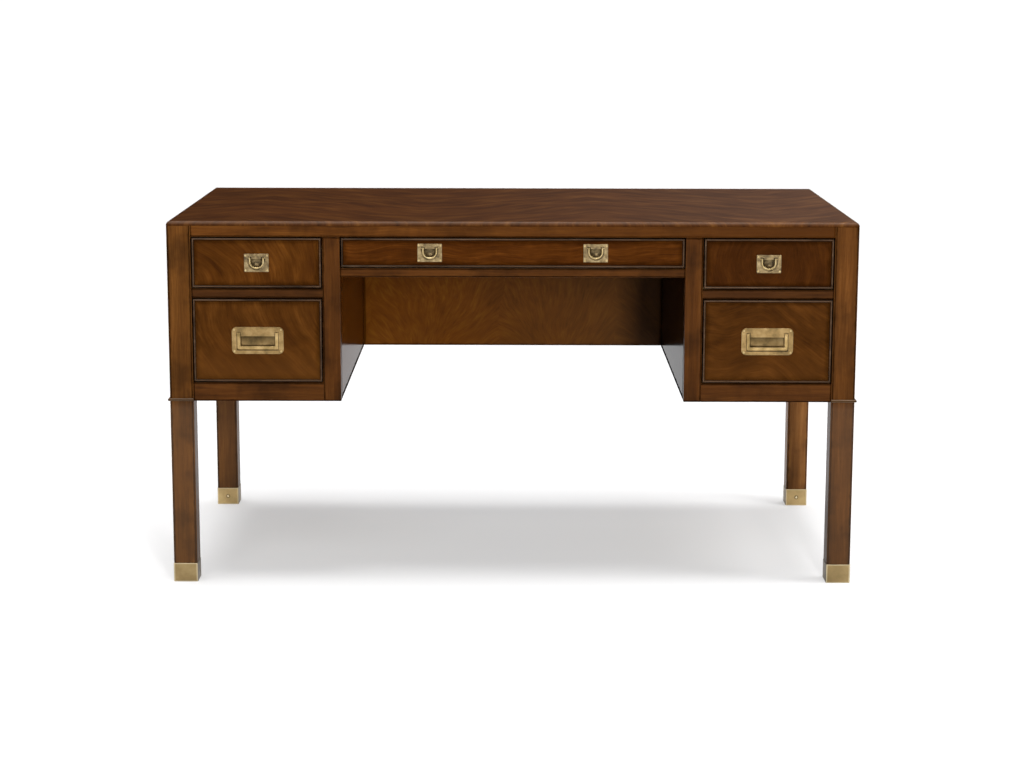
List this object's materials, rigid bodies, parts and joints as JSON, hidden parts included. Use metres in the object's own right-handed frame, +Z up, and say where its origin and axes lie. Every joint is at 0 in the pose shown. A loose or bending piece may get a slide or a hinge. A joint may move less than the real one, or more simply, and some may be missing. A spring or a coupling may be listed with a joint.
{
  "type": "campaign desk",
  "caption": "Kneehole writing desk with sliding drawers, let-in brass pulls with swinging bails, square posts with collar beads and brass foot caps.",
  "frame": {"origin": "on the floor, under the middle of the desk", "axes": "+X to the right seen from the front, +Y to the back, +Z up"},
  "size_m": [1.4296, 0.7696, 0.762],
  "materials": {
    "case_veneer": "gloss lacquer, straight grain",
    "figured_veneer": "gloss lacquer, crotch figure",
    "top_veneer": "gloss lacquer, long swirling grain",
    "inside_wood": "plain, thinly sealed",
    "brass": "aged, softly polished"
  },
  "bodies": {
    "case": {"desk_top": "top_veneer", "front_left_post": "case_veneer", "front_right_post": "case_veneer", "rear_left_post": "case_veneer", "rear_right_post": "case_veneer", "post_collars": "case_veneer", "foot_caps": "brass", "foot_cap_screws": "brass", "front_top_rail": "case_veneer", "rear_top_rail": "case_veneer", "center_rail": "case_veneer", "modesty_panel": "figured_veneer", "left_side_panel": "figured_veneer", "left_inner_side": "case_veneer", "right_side_panel": "figured_veneer", "right_inner_side": "case_veneer", "pedestal_stiles": "case_veneer", "mid_rails": "case_veneer", "bottom_rails": "case_veneer", "back_panels": "figured_veneer", "pedestal_floors": "inside_wood", "drawer_runners": "inside_wood", "kickers_and_guides": "inside_wood", "drawer_stops": "inside_wood"},
    "upper_left_drawer": {"upper_left_drawer_front": "figured_veneer", "upper_left_cock_bead": "case_veneer", "upper_left_drawer_box": "inside_wood", "upper_left_drawer_bottom": "inside_wood", "upper_left_pull_plate": "brass", "upper_left_pull_screws": "brass"},
    "upper_right_drawer": {"upper_right_drawer_front": "figured_veneer", "upper_right_cock_bead": "case_veneer", "upper_right_drawer_box": "inside_wood", "upper_right_drawer_bottom": "inside_wood", "upper_right_pull_plate": "brass", "upper_right_pull_screws": "brass"},
    "lower_left_drawer": {"lower_left_drawer_front": "figured_veneer", "lower_left_cock_bead": "case_veneer", "lower_left_drawer_box": "inside_wood", "lower_left_drawer_bottom": "inside_wood", "lower_left_pull_plate": "brass", "lower_left_pull_screws": "brass"},
    "lower_right_drawer": {"lower_right_drawer_front": "figured_veneer", "lower_right_cock_bead": "case_veneer", "lower_right_drawer_box": "inside_wood", "lower_right_drawer_bottom": "inside_wood", "lower_right_pull_plate": "brass", "lower_right_pull_screws": "brass"},
    "center_drawer": {"center_drawer_front": "figured_veneer", "center_cock_bead": "case_veneer", "center_drawer_box": "inside_wood", "center_drawer_bottom": "inside_wood", "center_pull_plates": "brass", "center_pull_screws": "brass"},
    "upper_left_handle": {"upper_left_bail": "brass"},
    "upper_right_handle": {"upper_right_bail": "brass"},
    "lower_left_handle": {"lower_left_bail": "brass"},
    "lower_right_handle": {"lower_right_bail": "brass"},
    "center_left_handle": {"center_left_bail": "brass"},
    "center_right_handle": {"center_right_bail": "brass"}
  },
  "joints": [
    {"name": "upper_left_drawer_slide", "type": "slide", "parent": "case", "child": "upper_left_drawer", "axis": [0, -1, 0], "range_m": [0, 0.42]},
    {"name": "upper_right_drawer_slide", "type": "slide", "parent": "case", "child": "upper_right_drawer", "axis": [0, -1, 0], "range_m": [0, 0.42]},
    {"name": "lower_left_drawer_slide", "type": "slide", "parent": "case", "child": "lower_left_drawer", "axis": [0, -1, 0], "range_m": [0, 0.42]},
    {"name": "lower_right_drawer_slide", "type": "slide", "parent": "case", "child": "lower_right_drawer", "axis": [0, -1, 0], "range_m": [0, 0.42]},
    {"name": "center_drawer_slide", "type": "slide", "parent": "case", "child": "center_drawer", "axis": [0, -1, 0], "range_m": [0, 0.33]},
    {"name": "upper_left_bail_swing", "type": "hinge", "parent": "upper_left_drawer", "child": "upper_left_handle", "pos_m": [-0.52675, -0.379, 0.68575], "axis": [-1, 0, 0], "range_deg": [0, 95]},
    {"name": "upper_right_bail_swing", "type": "hinge", "parent": "upper_right_drawer", "child": "upper_right_handle", "pos_m": [0.52675, -0.379, 0.68575], "axis": [-1, 0, 0], "range_deg": [0, 95]},
    {"name": "lower_left_bail_swing", "type": "hinge", "parent": "lower_left_drawer", "child": "lower_left_handle", "pos_m": [-0.52675, -0.379, 0.52955], "axis": [-1, 0, 0], "range_deg": [0, 95]},
    {"name": "lower_right_bail_swing", "type": "hinge", "parent": "lower_right_drawer", "child": "lower_right_handle", "pos_m": [0.52675, -0.379, 0.52955], "axis": [-1, 0, 0], "range_deg": [0, 95]},
    {"name": "center_left_bail_swing", "type": "hinge", "parent": "center_drawer", "child": "center_left_handle", "pos_m": [-0.1705, -0.379, 0.70725], "axis": [-1, 0, 0], "range_deg": [0, 95]},
    {"name": "center_right_bail_swing", "type": "hinge", "parent": "center_drawer", "child": "center_right_handle", "pos_m": [0.1705, -0.379, 0.70725], "axis": [-1, 0, 0], "range_deg": [0, 95]}
  ]
}
